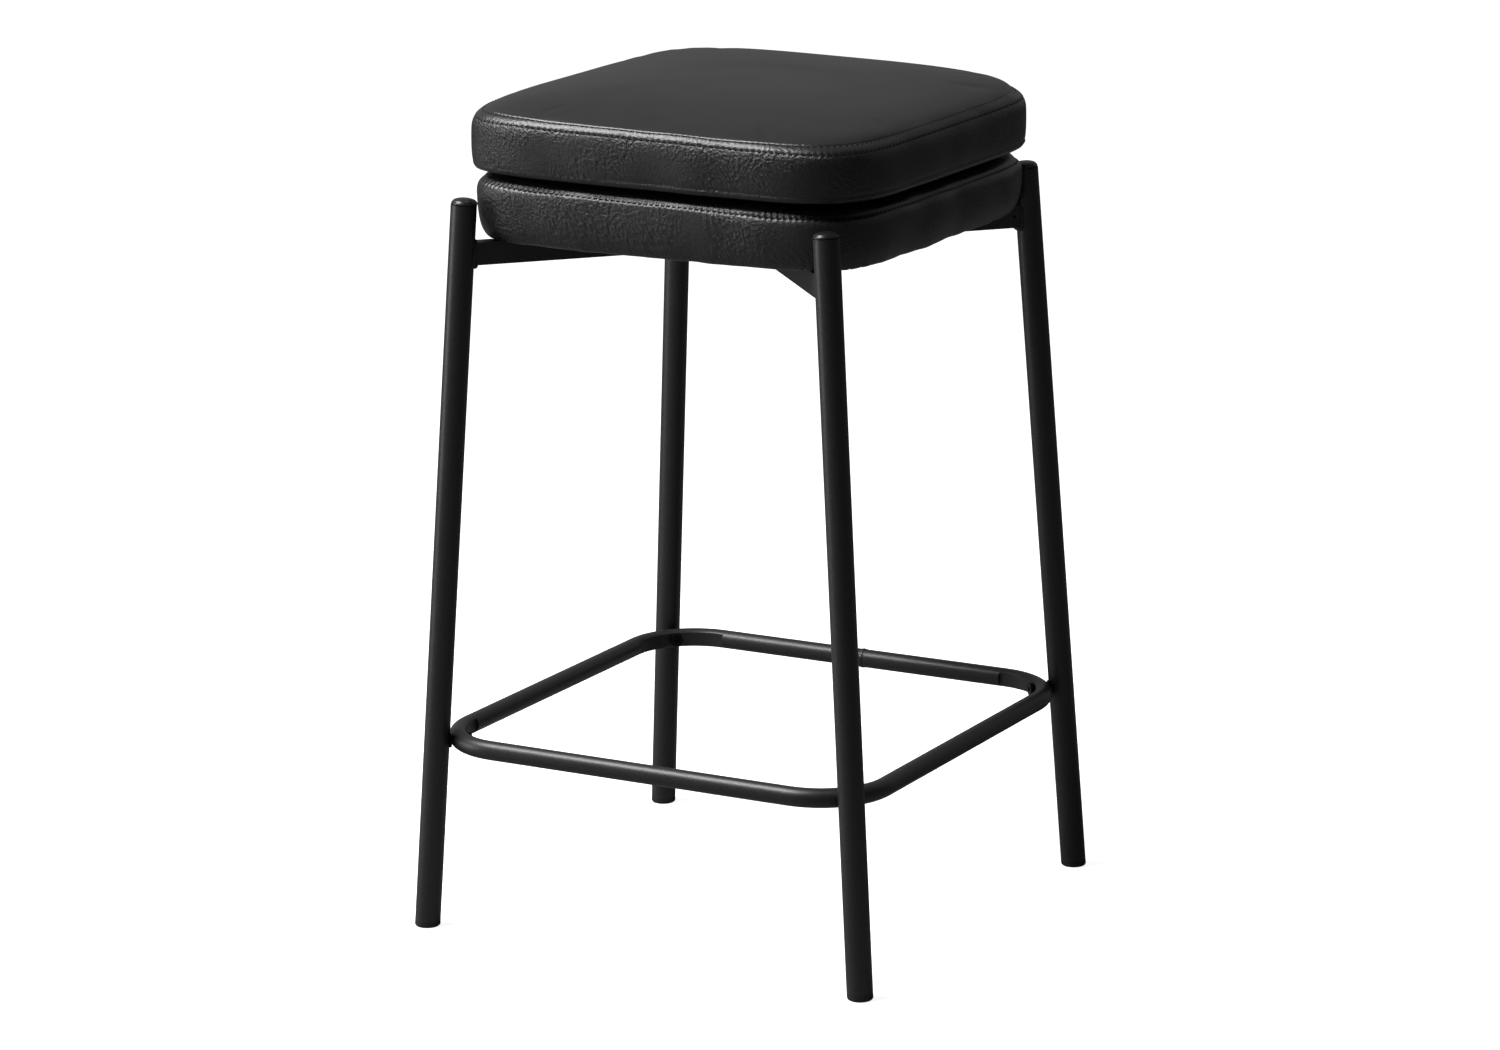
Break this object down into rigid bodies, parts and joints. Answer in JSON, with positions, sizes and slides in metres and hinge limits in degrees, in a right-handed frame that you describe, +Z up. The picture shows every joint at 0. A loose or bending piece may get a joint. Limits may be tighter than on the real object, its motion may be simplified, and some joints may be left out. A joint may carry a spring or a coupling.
{
  "type": "counter stool",
  "caption": "Backless counter-height stool with splayed round tube legs, a low square ring footrest and a stacked, stitched leatherette seat.",
  "frame": {"origin": "on the floor, below the centre of the seat", "axes": "+Z up; the front of the stool faces -Y; X runs across the stool"},
  "size_m": [0.4008, 0.3898, 0.6535],
  "materials": {
    "powder_coated_steel": "satin",
    "cap_plastic": "satin",
    "foot_plastic": "matte",
    "leatherette": "satin",
    "foam": "matte",
    "plywood": "matte",
    "dust_cloth": "matte",
    "staple_wire": "satin",
    "zinc_steel": "satin",
    "blackened_steel": "satin"
  },
  "bodies": {
    "root": {"crossbar_back_left": "powder_coated_steel", "crossbar_front_right": "powder_coated_steel", "crossbar_long": "powder_coated_steel", "dust_cover": "dust_cloth", "dust_cover_staples": "staple_wire", "foot_back_left": "foot_plastic", "foot_back_right": "foot_plastic", "foot_front_left": "foot_plastic", "foot_front_right": "foot_plastic", "footrest_ring": "powder_coated_steel", "footrest_rivet_nuts": "zinc_steel", "footrest_screws": "blackened_steel", "leg_back_left": "powder_coated_steel", "leg_back_right": "powder_coated_steel", "leg_cap_back_left": "cap_plastic", "leg_cap_back_right": "cap_plastic", "leg_cap_front_left": "cap_plastic", "leg_cap_front_right": "cap_plastic", "leg_front_left": "powder_coated_steel", "leg_front_right": "powder_coated_steel", "lower_board": "plywood", "lower_cover": "leatherette", "lower_foam": "foam", "seat_bolts": "blackened_steel", "seat_washers": "zinc_steel", "spacer_sleeves": "zinc_steel", "tee_nuts": "zinc_steel", "upper_board": "plywood", "upper_cover": "leatherette", "upper_cover_staples": "staple_wire", "upper_foam": "foam"}
  },
  "joints": []
}
